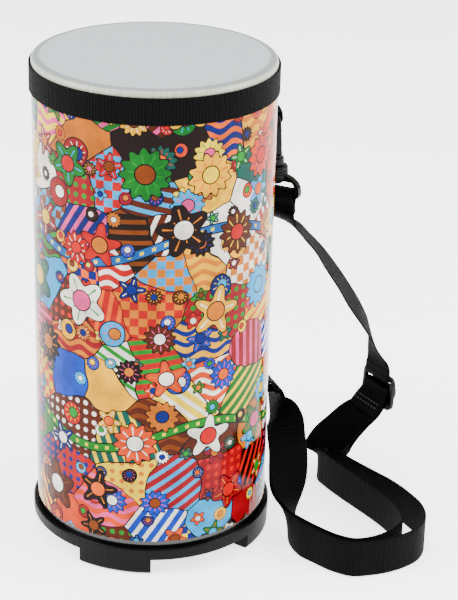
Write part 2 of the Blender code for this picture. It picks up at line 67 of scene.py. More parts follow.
# ------------------------------------------------------------------ shader writing
class Sig:
    """A value in a node tree, with ordinary arithmetic."""

    def __init__(self, tree, socket):
        self.t, self.s = tree, socket

    def _m(self, op, *others):
        node = self.t.nodes.new("ShaderNodeMath")
        node.operation = op
        for k, v in enumerate((self, *others)):
            if isinstance(v, Sig):
                self.t.links.new(v.s, node.inputs[k])
            else:
                node.inputs[k].default_value = float(v)
        return Sig(self.t, node.outputs[0])

    def __add__(self, o): return self._m("ADD", o)
    def __radd__(self, o): return self._m("ADD", o)
    def __sub__(self, o): return self._m("SUBTRACT", o)
    def __mul__(self, o): return self._m("MULTIPLY", o)
    def __rmul__(self, o): return self._m("MULTIPLY", o)
    def __truediv__(self, o): return self._m("DIVIDE", o)
    def __neg__(self): return self._m("MULTIPLY", -1.0)
    def sin(self): return self._m("SINE")
    def cos(self): return self._m("COSINE")
    def abs(self): return self._m("ABSOLUTE")
    def floor(self): return self._m("FLOOR")
    def fract(self): return self._m("FRACT")
    def sqrt(self): return self._m("SQRT")
    def lt(self, o): return self._m("LESS_THAN", o)
    def gt(self, o): return self._m("GREATER_THAN", o)
    def max(self, o): return self._m("MAXIMUM", o)
    def min(self, o): return self._m("MINIMUM", o)
    def pow(self, o): return self._m("POWER", o)
    def atan2(self, o): return self._m("ARCTAN2", o)

    def ramp(self, lo, hi, a=0.0, b=1.0):
        node = self.t.nodes.new("ShaderNodeMapRange")
        node.interpolation_type = "SMOOTHSTEP"
        self.t.links.new(self.s, node.inputs["Value"])
        for name, v in (("From Min", lo), ("From Max", hi), ("To Min", a), ("To Max", b)):
            node.inputs[name].default_value = v
        return Sig(self.t, node.outputs["Result"])


class Look:
    """A Principled material being written."""

    def __init__(self, name):
        self.mat = bpy.data.materials.new(name)
        self.mat.use_nodes = True
        self.t = self.mat.node_tree
        self.bsdf = self.t.nodes["Principled BSDF"]
        tex = self.t.nodes.new("ShaderNodeTexCoord")
        self.coord = tex
        split = self.t.nodes.new("ShaderNodeSeparateXYZ")
        self.t.links.new(tex.outputs["Object"], split.inputs[0])
        self.x, self.y, self.z = (Sig(self.t, split.outputs[k]) * 1000.0 for k in range(3))
        uv = self.t.nodes.new("ShaderNodeSeparateXYZ")
        self.t.links.new(tex.outputs["UV"], uv.inputs[0])
        self.u, self.v = Sig(self.t, uv.outputs[0]), Sig(self.t, uv.outputs[1])

    def set(self, **kw):
        for k, v in kw.items():
            sock = self.bsdf.inputs[k.replace("_", " ")]
            if isinstance(v, Sig):
                self.t.links.new(v.s, sock)
            elif isinstance(v, (tuple, list)):
                sock.default_value = (*v, 1.0) if len(v) == 3 else v
            else:
                sock.default_value = v
        return self

    def link(self, name, socket):
        self.t.links.new(socket, self.bsdf.inputs[name])

    def vec(self, a, b, c=0.0):
        node = self.t.nodes.new("ShaderNodeCombineXYZ")
        for k, v in enumerate((a, b, c)):
            if isinstance(v, Sig):
                self.t.links.new(v.s, node.inputs[k])
            else:
                node.inputs[k].default_value = v
        return node.outputs[0]

    def noise(self, scale, detail=4.0, rough=0.5, at=None):
        node = self.t.nodes.new("ShaderNodeTexNoise")
        node.inputs["Scale"].default_value = scale
        node.inputs["Detail"].default_value = detail
        node.inputs["Roughness"].default_value = rough
        self.t.links.new(at if at is not None else self.coord.outputs["Object"], node.inputs["Vector"])
        return Sig(self.t, node.outputs[0])

    def white(self, a, b, c=0.0):
        node = self.t.nodes.new("ShaderNodeTexWhiteNoise")
        node.noise_dimensions = "3D"
        self.t.links.new(self.vec(a, b, c), node.inputs["Vector"])
        return Sig(self.t, node.outputs["Value"])

    def voronoi(self, a, b, feature="F1", jitter=0.85):
        node = self.t.nodes.new("ShaderNodeTexVoronoi")
        node.voronoi_dimensions = "2D"
        node.feature = feature
        node.inputs["Scale"].default_value = 1.0
        node.inputs["Randomness"].default_value = jitter
        self.t.links.new(self.vec(a, b), node.inputs["Vector"])
        return node

    def palette(self, value, colours):
        node = self.t.nodes.new("ShaderNodeValToRGB")
        ramp = node.color_ramp
        ramp.interpolation = "CONSTANT"
        n = len(colours)
        ramp.elements[0].position = 0.0
        ramp.elements[0].color = (*colours[0], 1.0)
        ramp.elements[1].position = 1.0 / n
        ramp.elements[1].color = (*colours[1], 1.0)
        for k in range(2, n):
            e = ramp.elements.new(k / n)
            e.color = (*colours[k], 1.0)
        self.t.links.new(value.s, node.inputs[0])
        return node.outputs[0]

    def mix(self, factor, a, b):
        node = self.t.nodes.new("ShaderNodeMix")
        node.data_type = "RGBA"
        if isinstance(factor, Sig):
            self.t.links.new(factor.s, node.inputs[0])
        else:
            node.inputs[0].default_value = factor
        for k, v in ((6, a), (7, b)):
            if isinstance(v, (tuple, list)):
                node.inputs[k].default_value = (*v, 1.0)
            else:
                self.t.links.new(v, node.inputs[k])
        return node.outputs[2]

    def bump(self, height, strength=1.0, distance=0.0002, after=None):
        node = self.t.nodes.new("ShaderNodeBump")
        node.inputs["Strength"].default_value = strength
        node.inputs["Distance"].default_value = distance
        self.t.links.new(height.s, node.inputs["Height"])
        if after is not None:
            self.t.links.new(after, node.inputs["Normal"])
        self.t.links.new(node.outputs[0], self.bsdf.inputs["Normal"])
        return node.outputs[0]


def lin(*rgb):
    return tuple((c / 255.0) ** 2.2 for c in rgb)


def dye(*rgb):
    """A printed or moulded colour, lowered for the bright studio."""
    return tuple(c * 0.55 for c in lin(*rgb))


def paint(obj, look):
    obj.data.materials.clear()
    obj.data.materials.append(look.mat)


# ------------------------------------------------------------------ materials
WRAP_R = 73.0


def wrap_look():
    k = Look("printed_wrap")
    th = k.x.atan2(-k.y)
    u, v = th * WRAP_R, k.z
    ink = dye(14, 8, 10)
    bright = [dye(190, 6, 10), dye(250, 178, 4), dye(14, 62, 180), dye(10, 108, 34), dye(222, 66, 2),
              dye(84, 34, 12), dye(255, 250, 236), dye(150, 4, 26), dye(70, 168, 226), dye(8, 84, 74),
              dye(196, 104, 26), dye(20, 34, 104), dye(255, 214, 40), dye(28, 14, 10)]
    soft = [dye(255, 210, 20), dye(74, 170, 226), dye(255, 252, 240), dye(206, 8, 10), dye(30, 140, 46),
            dye(238, 96, 6), dye(255, 252, 240), dye(18, 36, 120), dye(214, 120, 44), dye(124, 60, 20),
            dye(236, 120, 160)]

    # patches with a wobbly edge
    wob = k.noise(26.0, 2.0)
    pu, pv = (u + (wob - 0.5) * 22.0) / 30.0, (v + (wob - 0.5) * 18.0) / 27.0
    cells = k.voronoi(pu, pv)
    edge = Sig(k.t, k.voronoi(pu, pv, "DISTANCE_TO_EDGE").outputs["Distance"])
    rnd = k.t.nodes.new("ShaderNodeSeparateColor")
    k.t.links.new(cells.outputs["Color"], rnd.inputs[0])
    r1, r2, r3 = (Sig(k.t, rnd.outputs[n]) for n in range(3))
    base = k.palette(r1, bright)
    second = k.palette((r1 * 7.0 + r2).fract(), soft)

    # fills: slanting stripes, dots, checks, waves
    slant = r3 * 3.14
    line = ((u * slant.cos() + v * slant.sin()) / 6.4).fract().lt(0.42)
    dot_u, dot_v = (u / 6.0).fract() - 0.5, (v / 6.0).fract() - 0.5
    dots = (dot_u * dot_u + dot_v * dot_v).lt(0.075)
    check = ((u / 5.2).floor() + (v / 5.2).floor())._m("MODULO", 2.0).abs().gt(0.5)
    wave = ((v + (u / 3.0).sin() * 1.8) / 7.0).fract().lt(0.45)
    pick = lambda a, b: r2.gt(a) * r2.lt(b)
    fill = (line * pick(0.14, 0.36)).max(dots * pick(0.36, 0.6)).max(check * pick(0.6, 0.76)).max(wave * pick(0.76, 0.94))
    col = k.mix(fill, base, second)
    col = k.mix(edge.lt(0.014), col, ink)

    def motif(size, seed, keep, radius, kinds, col, outline):
        row = (v / size + seed * 0.37).floor()
        uu = u / size + row._m("MODULO", 2.0).abs() * 0.5 + seed * 0.61
        ci = uu.floor()
        a, b, c, d = (k.white(ci, row, seed + 0.17 * n) for n in range(4))
        du = (uu.fract() - 0.5) * size - (a - 0.5) * size * 0.3
        dv = ((v / size + seed * 0.37).fract() - 0.5) * size - (b - 0.5) * size * 0.3
        r = (du * du + dv * dv).sqrt()
        ang = dv.atan2(du) + c * 6.28
        rad = (a * 0.35 + 0.82) * radius
        wobble = (ang * 2.0 + seed).sin() * 0.03
        petals = (ang * 5.0).cos() * 0.2 + 0.8
        star = (((ang * 5.0).cos() + 1.0) * 0.5).pow(1.5) * 0.5 + 0.5
        sun = (ang * 12.0).cos() * 0.11 + 0.88
        bean = (ang.cos() * 0.5 + 0.5).pow(0.6) * 0.35 + 0.6
        shapes = [petals, star, sun, bean]
        limit = shapes[kinds[0]]
        for n, which in enumerate(kinds[1:], 1):
            on = c.gt(n / len(kinds))
            limit = limit * (on * -1.0 + 1.0) + shapes[which] * on
        limit = (limit + wobble) * rad
        here = d.lt(keep)
        body = r.lt(limit) * here
        rim = r.lt(limit + outline) * here
        inner = r.lt(rad * 0.36) * here
        ring = r.lt(rad * 0.36 + outline * 0.8) * here
        veins = ((ang * 10.0).cos().gt(0.9) * r.lt(limit * 0.82)) * here
        col = k.mix(rim, col, ink)
        col = k.mix(body, col, k.palette(b, bright))
        col = k.mix(veins * body, col, k.palette((b * 5.0).fract(), soft))
        col = k.mix(ring, col, ink)
        return k.mix(inner, col, k.palette((d * 9.0).fract(), soft))

    # a vine that winds round the shell, with its leaves
    for base_v, amp, per, shade in ((92.0, 9.0, 23.0, dye(40, 130, 50)), (214.0, 11.0, 27.0, dye(30, 96, 170))):
        mid = v - ((u / per).sin() * amp + base_v)
        col = k.mix(mid.abs().lt(3.3), col, ink)
        col = k.mix(mid.abs().lt(2.5), col, shade)
        beads = ((u / 7.0).fract() - 0.5).abs().lt(0.16) * mid.abs().lt(1.1)
        col = k.mix(beads, col, dye(250, 226, 120))
    col = motif(15.0, 3.0, 0.5, 4.6, (3, 2, 0), col, 0.6)
    col = motif(27.0, 7.0, 0.6, 9.0, (2, 3, 1), col, 0.8)
    col = motif(43.0, 1.0, 0.8, 14.5, (0, 1, 2), col, 1.0)
    shade = k.noise(70.0, 3.0, 0.6).ramp(0.3, 0.75, 0.7, 1.16)
    dark = k.t.nodes.new("ShaderNodeHueSaturation")
    k.t.links.new(col, dark.inputs["Color"])
    k.t.links.new(shade.s, dark.inputs["Value"])
    dark.inputs["Saturation"].default_value = 1.2
    col = dark.outputs[0]
    # the print's own seam at the back
    col = k.mix(th.abs().gt(3.133), col, dye(200, 196, 188))

    k.link("Base Color", col)
    ripple = k.noise(9.0, 2.0, 0.4, k.vec(u * 0.02, v * 0.004))
    grain = k.noise(900.0, 2.0)
    k.bump(ripple * 1.0 + grain * 0.004, 0.35, 0.0006)
    k.set(Roughness=k.noise(60.0, 3.0) * 0.05 + 0.07, Specular_IOR_Level=0.07)
    return k


def webbing(name, u, v, k, shade=(0.018, 0.018, 0.02), pitch=1.7, step=1.25, fuzz=1.0):
    """Woven nylon: columns of slanting knots, with a painted highlight on each knot and painted shade in the gaps
    between them. u runs along the webbing and v across it, in millimetres.
    """
    col_i = (u / pitch).floor()
    flip = col_i._m("MODULO", 2.0).abs() * 2.0 - 1.0
    fu = (u / pitch).fract() - 0.5
    along = (v / step + fu * flip * 0.9)
    fv = along.fract() - 0.5
    knot = (fu * fu * 3.2 + fv * fv * 2.6).ramp(0.0, 0.95, 1.0, 0.0)
    strands = ((along * 6.0 + fu * 3.0) * 6.283).sin() * 0.07
    rib = ((u / (pitch * 2.0)).fract() - 0.5).abs() * 0.25
    hair = k.noise(2600.0, 3.0, 0.7) * 0.16 * fuzz
    height = knot + strands + rib + hair
    tint = k.white(col_i, along.floor()) * 0.35 + 0.8
    # painted light: the knot tops are painted up to 1.7 times the base colour as a highlight, and the gaps between
    # knots down to 0.06 times as shade
    bright = (knot * 0.95 + 0.25) * tint
    col = k.mix(bright.min(1.0), tuple(c * 0.06 for c in shade), tuple(c * 1.7 for c in shade))
    k.link("Base Color", col)
    k.bump(height, 1.0, 0.0006)
    k.set(Roughness=(knot * -0.16) + 0.72, Specular_IOR_Level=0.03)
    k.bsdf.inputs["Sheen Tint"].default_value = (0.75, 0.8, 0.85, 1.0)
    return k


def band_look():
    k = Look("rim_webbing")
    th = k.x.atan2(-k.y)
    return webbing("rim", th * 74.0, k.z, k, (0.0016, 0.0016, 0.0018), 1.9, 1.35)


def strap_look(name="strap_webbing"):
    k = Look(name)
    return webbing(name, k.v, k.u, k, (0.0014, 0.0014, 0.0016), 1.9, 1.35)


def tab_look(name, z_scale=1.0):
    k = Look(name)
    return webbing(name, k.z, k.x * 0.45 + k.y * -0.89, k, (0.0016, 0.0016, 0.0018), 1.9, 1.35)


def head_look():
    k = Look("head_film")
    rad = (k.x * k.x + k.y * k.y).sqrt()
    th = k.x.atan2(-k.y)
    flat = k.z.gt(308.6)
    skirt = k.z.ramp(308.7, 309.3, 1.0, 0.0)
    cloud = k.noise(14.0, 4.0) * 0.06 + k.noise(120.0, 3.0) * 0.03 + 0.93
    top = k.mix(cloud, dye(176, 186, 192), dye(210, 218, 222))
    # painted shade: the flat film is darkened in a ring towards its edge, where it curves down
    rim_painted_shade = rad.ramp(66.8, 69.0, 0.0, 1.0)
    top = k.mix(rim_painted_shade * 0.9, top, dye(146, 158, 150))
    pleat = k.noise(1.0, 3.0, 0.6, k.vec(th * 46.0, k.z * 0.02))
    side = k.mix(pleat.ramp(0.35, 0.65), dye(196, 198, 172), dye(222, 224, 204))
    ticks = ((th * 7.0 + pleat * 0.5).fract()).lt(0.035)
    side = k.mix(ticks * 0.7, side, dye(250, 250, 240))
    col = k.mix(skirt, top, side)
    k.link("Base Color", col)
    fine = k.noise(1600.0, 3.0) * 0.02 + k.noise(30.0, 2.0) * 0.05
    k.bump(fine + pleat * skirt * 0.9, 0.5, 0.0004)
    k.set(Roughness=flat * 0.1 + 0.32, Subsurface_Weight=0.12, Subsurface_Scale=0.004, Coat_Weight=0.2, Coat_Roughness=0.2)
    return k


def tube_look():
    k = Look("shell_lacquer")
    inside = (k.x * k.x + k.y * k.y).sqrt().lt(70.0)
    fibre = k.noise(1.0, 5.0, 0.6, k.vec(k.x.atan2(-k.y) * 30.0, k.z * 0.5))
    kraft = k.mix(fibre, dye(128, 98, 66), dye(168, 134, 96))
    k.link("Base Color", k.mix(inside, dye(16, 15, 14), kraft))
    k.bump(fibre * inside * 0.8 + k.noise(500.0) * 0.05, 0.5, 0.0004)
    k.set(Roughness=inside * 0.62 + 0.16)
    return k


def ring_look():
    k = Look("ring_moulding")
    grain = k.noise(420.0, 4.0, 0.6)
    scuff = k.noise(34.0, 5.0, 0.7)
    top = k.z.gt(17.2)
    k.link("Base Color", k.mix(scuff, dye(9, 9, 10), dye(18, 18, 20)))
    k.bump(grain * 0.6 + scuff * 0.5, 0.5, 0.00015)
    k.set(Roughness=grain * 0.14 + 0.4 + top * -0.2, Specular_IOR_Level=0.07)
    return k


def hook_look():
    k = Look("hook_plastic")
    grain = k.noise(700.0, 3.0, 0.5)
    flow = k.noise(60.0, 4.0, 0.6)
    k.link("Base Color", k.mix(flow, dye(9, 9, 10), dye(20, 20, 21)))
    k.bump(grain * 0.5 + flow * 0.8, 0.35, 0.00015)
    k.set(Roughness=flow * 0.16 + 0.26, Specular_IOR_Level=0.1)
    return k


def steel_look():
    k = Look("zinc_steel")
    brushed = k.noise(1.0, 4.0, 0.6, k.vec(k.x * 0.9, k.y * 0.9, k.z * 6.0))
    k.link("Base Color", k.mix(brushed, (0.5, 0.5, 0.52), (0.68, 0.68, 0.7)))
    k.bump(brushed * 0.5, 0.3, 0.00008)
    k.set(Metallic=1.0, Roughness=brushed * 0.2 + 0.24)
    return k


def thread_look():
    k = Look("stitch_thread")
    twist = ((k.x + k.y + k.z) * 9.0).sin() * 0.5 + 0.5
    k.link("Base Color", k.mix(twist, dye(24, 24, 26), dye(70, 70, 74)))
    k.bump(twist, 0.5, 0.0001)
    k.set(Roughness=0.5)
    return k


NODES = {o["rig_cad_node"]: o for o in bpy.context.scene.objects if "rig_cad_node" in o}
HOOK, STEEL = hook_look(), steel_look()
LOOKS = {"shell_wrap": wrap_look(), "rim_band": band_look(), "drumhead": head_look(), "shell_tube": tube_look(),
         "foot_ring": ring_look(), "upper_tab": tab_look("upper_tab_webbing"), "lower_tab": tab_look("lower_tab_webbing")}
for name, obj in NODES.items():
    if name == "strap":
        continue
    if name in LOOKS:
        paint(obj, LOOKS[name])
    elif "screw" in name or "nut" in name or "pin" in name:
        paint(obj, STEEL)
    else:
        paint(obj, HOOK)


# ------------------------------------------------------------------ the strap's route, the same stations as in the CAD
WEB_W, WEB_T = 25.0, 1.3
HOOK_R, HOOK_LEAN = 82.0, 3.5
UP = Vector((0.0, 0.0, 1.0))


def arc(cx, cz, r, a0, a1, n):
    return [(cx + r * math.cos(math.radians(a0 + (a1 - a0) * i / n)),
             cz + r * math.sin(math.radians(a0 + (a1 - a0) * i / n))) for i in range(n + 1)]


def polar(az, r, z):
    a = math.radians(az)
    return Vector((r * math.sin(a), -r * math.cos(a), z))


def frame_at(point, x_dir, y_dir, z_dir):
    m = Matrix.Identity(4)
    for i, v in enumerate((x_dir, y_dir, z_dir)):
        v = v.normalized()
        for k in range(3):
            m[k][i] = v[k]
    for k in range(3):
        m[k][3] = point[k]
    return m


def hook_frame(az, z, down, yaw):
    lean = math.radians(HOOK_LEAN)
    out = polar(az, 1.0, 0.0)
    along = out * math.sin(lean) + UP * (-math.cos(lean) if down else math.cos(lean))
    z_dir = -along
    y_dir = (out - z_dir * out.dot(z_dir)).normalized()
    m = frame_at(polar(az, HOOK_R, z), y_dir.cross(z_dir), y_dir, z_dir)
    return m @ Matrix.Rotation(math.radians(yaw), 4, "Z")


def loop_frame(hook, angle):
    z_dir = hook.col[2].xyz.normalized()
    want = Vector((math.cos(math.radians(angle)), math.sin(math.radians(angle)), 0.0))
    x_dir = (want - z_dir * want.dot(z_dir)).normalized()
    return frame_at(hook @ Vector((0.0, 0.0, -25.7)), x_dir, z_dir.cross(x_dir), z_dir)


UPPER_LOOP = loop_frame(hook_frame(117.0, 255.1, True, -18.0), -31.0)
LOWER_LOOP = loop_frame(hook_frame(128.0, 30.5, False, 0.0), -70.0)
BAR_Z = -18.3


def at(m, x, y, z):
    return m @ Vector((x, y, z))


def heading(a, tilt=0.0):
    a, tilt = math.radians(a), math.radians(tilt)
    return Vector((math.cos(a) * math.cos(tilt), math.sin(a) * math.cos(tilt), math.sin(tilt)))


SLIDER_UP = Vector((0.05, 0.0, 1.0)).normalized()
SLIDER_X = heading(-55.0, 7.0)
SLIDER_X = (SLIDER_X - SLIDER_UP * SLIDER_X.dot(SLIDER_UP)).normalized()
SLIDER = frame_at(Vector((149.1, 70.0, 61.4)), SLIDER_X, SLIDER_UP.cross(SLIDER_X), SLIDER_UP)


def bar_path(half_y, half_z, n=4):
    gap = WEB_T / 2.0 + 0.4
    cy, cz = half_y - 0.5, half_z - 0.5
    return arc(cy, cz, gap + 0.5, 0, 90, n) + arc(-cy, cz, gap + 0.5, 90, 180, n)


def in_slider(points):
    return [(at(SLIDER, 0.0, y, z), SLIDER_X) for y, z in points]


def lower_leg(y, z):
    return (at(LOWER_LOOP, 0.0, y, z), LOWER_LOOP.col[0].xyz.normalized())


def on_floor(points):
    return [((x, y, WEB_W / 2.0 + 0.4), Vector((0.0, 0.0, -1.0))) for x, y in points]


def beside(stations, gap):
    """The same route taken back the other way, lying on the webbing's other face."""
    out = []
    for i, (p, w) in enumerate(stations):
        a, b = Vector(stations[max(0, i - 1)][0]), Vector(stations[min(len(stations) - 1, i + 1)][0])
        t = (b - a).normalized()
        w = (w - t * w.dot(t)).normalized()
        out.append((Vector(p) + w.cross(t).normalized() * gap, w))
    return out[::-1]


UX = UPPER_LOOP.col[0].xyz.normalized()
NEAR, WIDE = WEB_T / 2.0 + 0.2, 1.8 + WEB_T / 2.0 + 0.4
LEG = [(NEAR, -10.6), (NEAR, -7.0), (NEAR + 0.5, -5.3), (WIDE - 0.5, -3.4), (WIDE, -2.0)]
upper_end = [(-y, z) for y, z in LEG] + bar_path(1.8, 2.3)[::-1] + LEG[::-1]
STRAP = [(at(UPPER_LOOP, 0.0, y, BAR_Z + z), UX) for y, z in upper_end]
STRAP += [
    (at(UPPER_LOOP, 0.0, NEAR, BAR_Z - 13.0), UX),
    ((81.0, 41.6, 191.6), heading(-50.0)),
    ((90.8, 44.4, 184.2), heading(-79.0, -5.0)),
    ((99.4, 46.8, 174.2), heading(-81.0, -8.0)),
    ((107.3, 49.8, 162.9), heading(-86.0, -13.0)),
    ((116.0, 53.6, 149.4), heading(-88.0, -15.0)),
    ((126.0, 58.8, 132.0), heading(-91.0, -16.0)),
    ((135.2, 63.0, 116.3), heading(-88.0, -15.0)),
    ((140.5, 66.0, 105.5), heading(-85.0, -12.0)),
    ((143.5, 67.8, 95.5), heading(-79.0, -7.0)),
    ((145.9, 68.8, 87.0), heading(-67.0, -2.0)),
]
WEAVE = len(STRAP)
STRAP += in_slider([(-2.55, 17.0), (-2.55, 12.8), (-2.55, 9.6), (-1.6, 7.7), (0.3, 6.5), (2.7, 5.0), (4.4, 2.8),
                    (4.8, 0.0), (4.4, -2.8), (2.7, -5.0), (0.3, -6.5), (-1.9, -8.1), (-4.3, -10.5), (-7.4, -14.4)])
STRAP += [((135.4, 64.6, 41.6), heading(-61.0, -22.0)), ((126.2, 63.6, 31.6), heading(-58.0, -45.0)),
          ((119.8, 62.0, 20.8), heading(-58.0, -70.0)), ((117.0, 58.4, 14.6), heading(-62.0, -84.0))]
STRAP += on_floor([(117.8, 53.4), (122.2, 46.6), (129.5, 37.0), (143.0, 21.5), (155.5, 7.5), (166.0, -8.5),
                   (173.0, -24.0), (174.0, -38.0), (169.5, -50.5), (160.0, -60.0), (148.5, -66.8), (138.0, -70.2),
                   (127.5, -71.8), (117.0, -67.5), (104.4, -57.3), (94.4, -47.0)])
RISE = len(STRAP)
rise = [((89.0, -36.5, 13.7), heading(66.0, -82.0)), ((86.4, -26.5, 18.6), heading(52.0, -58.0)),
        ((85.6, -15.5, 27.0), heading(30.0, -28.0)), ((87.4, -4.0, 34.0), heading(12.0, -12.0)),
        ((88.0, 12.0, 39.5), heading(2.0, -6.0)), ((87.0, 30.0, 43.0), heading(-14.0, -4.0)),
        ((86.2, 44.5, 48.5), heading(-40.0, -2.0)), ((82.6, 53.2, 57.4), heading(-66.0, 0.0))]
STRAP += rise
LOWER_FOLD = len(STRAP) + 1
STRAP += [lower_leg(y, BAR_Z + z) for y, z in
          [(-13.2, 4.8), (-9.2, 0.4), (-5.6, -1.4), (-2.9, -2.8), (-1.2, -3.35), (1.3, -3.3), (2.6, -2.5), (2.95, 0.0),
           (2.6, 2.5), (1.2, 3.5), (-1.0, 4.0), (-3.6, 4.4), (-6.4, 4.6), (-8.8, 5.0)]]
LOWER_FOLD_END = len(STRAP) - 1
STRAP += [(at(LOWER_LOOP, 0.0, -11.6, BAR_Z + 7.6), LOWER_LOOP.col[0].xyz.normalized())]
STRAP += beside(rise, 2.5)
INNER = len(STRAP) - 1
STRAP += on_floor([(96.9, -45.4), (106.6, -54.9), (118.6, -64.2), (128.0, -67.8), (138.0, -65.6), (147.0, -60.0),
                   (154.5, -52.5), (159.0, -43.0), (158.0, -31.0), (153.0, -17.0), (144.5, -2.5), (134.0, 12.5),
                   (123.0, 28.0), (114.2, 42.0), (110.4, 50.0)])
INNER_END = len(STRAP)
STRAP += [((110.6, 56.2, 15.2), heading(-62.0, -82.0)), ((114.4, 58.6, 23.4), heading(-58.0, -66.0)),
          ((123.8, 60.0, 34.4), heading(-58.0, -44.0)), ((133.4, 62.3, 44.4), heading(-61.0, -22.0))]
SEWN = len(STRAP)
STRAP += in_slider([(-9.4, -12.3), (-6.2, -8.6), (-3.5, -6.0), (-1.3, -4.6), (0.6, -4.0),
                    (2.1, -3.1), (2.8, -1.2), (2.8, 1.2), (1.9, 3.1), (0.0, 3.6), (-1.9, 3.1), (-2.8, 1.2),
                    (-3.0, -1.2), (-4.3, -3.5), (-6.3, -5.4), (-8.6, -7.6), (-11.0, -10.2), (-13.6, -13.2)])
PER = 8


def spline(points, per):
    pos = [Vector(p) for p, _ in points]
    gap = [(b - a).length for a, b in zip(pos, pos[1:])]

    def slopes(vals):
        out = []
        for i in range(len(vals)):
            if i == 0:
                m = (vals[1] - vals[0]) / gap[0]
            elif i == len(vals) - 1:
                m = (vals[-1] - vals[-2]) / gap[-1]
            else:
                m = ((vals[i] - vals[i - 1]) * (gap[i] / gap[i - 1])
                     + (vals[i + 1] - vals[i]) * (gap[i - 1] / gap[i])) / (gap[i - 1] + gap[i])
            out.append(m)
        return out

    sets = [pos, [Vector(w).normalized() for _, w in points]]
    tang = [slopes(v) for v in sets]
    out = []
    for i in range(len(points) - 1):
        for k in range(per):
            t = k / per
            h = (2 * t ** 3 - 3 * t * t + 1, t ** 3 - 2 * t * t + t, -2 * t ** 3 + 3 * t * t, t ** 3 - t * t)
            out.append(tuple(v[i] * h[0] + m[i] * (gap[i] * h[1]) + v[i + 1] * h[2] + m[i + 1] * (gap[i] * h[3])
                             for v, m in zip(sets, tang)))
    out.append((sets[0][-1], sets[1][-1]))
    return out


RUN = []          # (centre, width direction, normal, running length), in millimetres
_path, _far = spline(STRAP, PER), 0.0
for _i, (_p, _w) in enumerate(_path):
    _a, _b = _path[max(0, _i - 1)][0], _path[min(len(_path) - 1, _i + 1)][0]
    _t = (_b - _a).normalized()
    _w = (_w - _t * _w.dot(_t)).normalized()
    _far += (_p - _path[max(0, _i - 1)][0]).length
    RUN.append((_p, _w, _t.cross(_w).normalized(), _far))
STRAP_LENGTH = _far

# the webbing's section: two flat faces and rounded selvedges
_EDGE = [(1.0, 0.0), (0.988, 0.55), (0.955, 0.88), (0.9, 1.0), (0.6, 0.985), (0.3, 0.97), (0.0, 0.965)]
_TOP = _EDGE + [(-u, h) for u, h in _EDGE[-2::-1]]
SECTION = _TOP + [(u, -h) for u, h in _TOP[-2:0:-1]]


def ribbon(name, first, last, thin=1.0):
    """The webbing between two stations, as a closed mesh with its own lengthwise and crosswise map."""
    rows = RUN[first * PER:last * PER + 1]
    bm = bmesh.new()
    rings = []
    for p, w, n, _ in rows:
        rings.append([bm.verts.new((p + w * (u * WEB_W / 2.0) + n * (h * thin * WEB_T / 2.0)) * MM) for u, h in SECTION])
    uv = bm.loops.layers.uv.new("UVMap")
    count = len(SECTION)
    for i in range(len(rows) - 1):
        for j in range(count):
            k = (j + 1) % count
            face = bm.faces.new((rings[i][j], rings[i][k], rings[i + 1][k], rings[i + 1][j]))
            face.smooth = True
            for loop, (s, r) in zip(face.loops, ((j, i), (k, i), (k, i + 1), (j, i + 1))):
                loop[uv].uv = (SECTION[s][0] * WEB_W / 2.0, rows[r][3])
    for ring, r in ((rings[0][::-1], 0), (rings[-1], -1)):
        face = bm.faces.new(ring)
        for loop in face.loops:
            loop[uv].uv = (0.0, rows[r][3])
    bmesh.ops.recalc_face_normals(bm, faces=bm.faces)
    mesh = bpy.data.meshes.new(name)
    bm.to_mesh(mesh)
    bm.free()
    obj = bpy.data.objects.new(name, mesh)
    bpy.context.scene.collection.objects.link(obj)
    obj.data.materials.append(WEBBING.mat)
    return obj


def line_of(first, last):
    return [tuple(p * MM) for p, _, _, _ in RUN[first * PER:last * PER + 1]]


def station(i):
    return RUN[i * PER][0] * MM


WEBBING = strap_look()
THREAD = thread_look()


def stitches(name, places):
    """Threads lying on the webbing: (row of RUN, side, u from, u to, lengthwise?) each a low rounded stitch."""
    bm = bmesh.new()
    for centre, along, up, half in places:
        side = up.cross(along).normalized()
        rings = []
        for k, (s, r) in enumerate(((-1.0, 0.12), (-0.8, 0.3), (-0.3, 0.38), (0.3, 0.38), (0.8, 0.3), (1.0, 0.12))):
            ring = []
            for q in range(8):
                a = 2.0 * math.pi * q / 8
                drop = -0.22 * s * s
                ring.append(bm.verts.new((centre + along * (s * half) + side * (math.cos(a) * r)
                                          + up * (math.sin(a) * r * 0.7 + drop)) * MM))
            rings.append(ring)
        for a, b in zip(rings, rings[1:]):
            for q in range(8):
                f = bm.faces.new((a[q], a[(q + 1) % 8], b[(q + 1) % 8], b[q]))
                f.smooth = True
        bm.faces.new(rings[0][::-1])
        bm.faces.new(rings[-1])
    bmesh.ops.recalc_face_normals(bm, faces=bm.faces)
    mesh = bpy.data.meshes.new(name)
    bm.to_mesh(mesh)
    bm.free()
    obj = bpy.data.objects.new(name, mesh)
    bpy.context.scene.collection.objects.link(obj)
    obj.data.materials.append(THREAD.mat)
    return obj


def row_at(length):
    return min(range(len(RUN)), key=lambda i: abs(RUN[i][3] - length))


def seam_rows(lengths, side, lift=0.0, half=1.05, step=2.7):
    out = []
    for far in lengths:
        p, w, n, _ = RUN[row_at(far)]
        count = int(21.0 / step)
        for k in range(count + 1):
            u = -10.5 + 21.0 * k / count
            out.append((p + w * u + n * (side * (WEB_T / 2.0 + 0.05 + lift)), w, n * side, half))
    return out


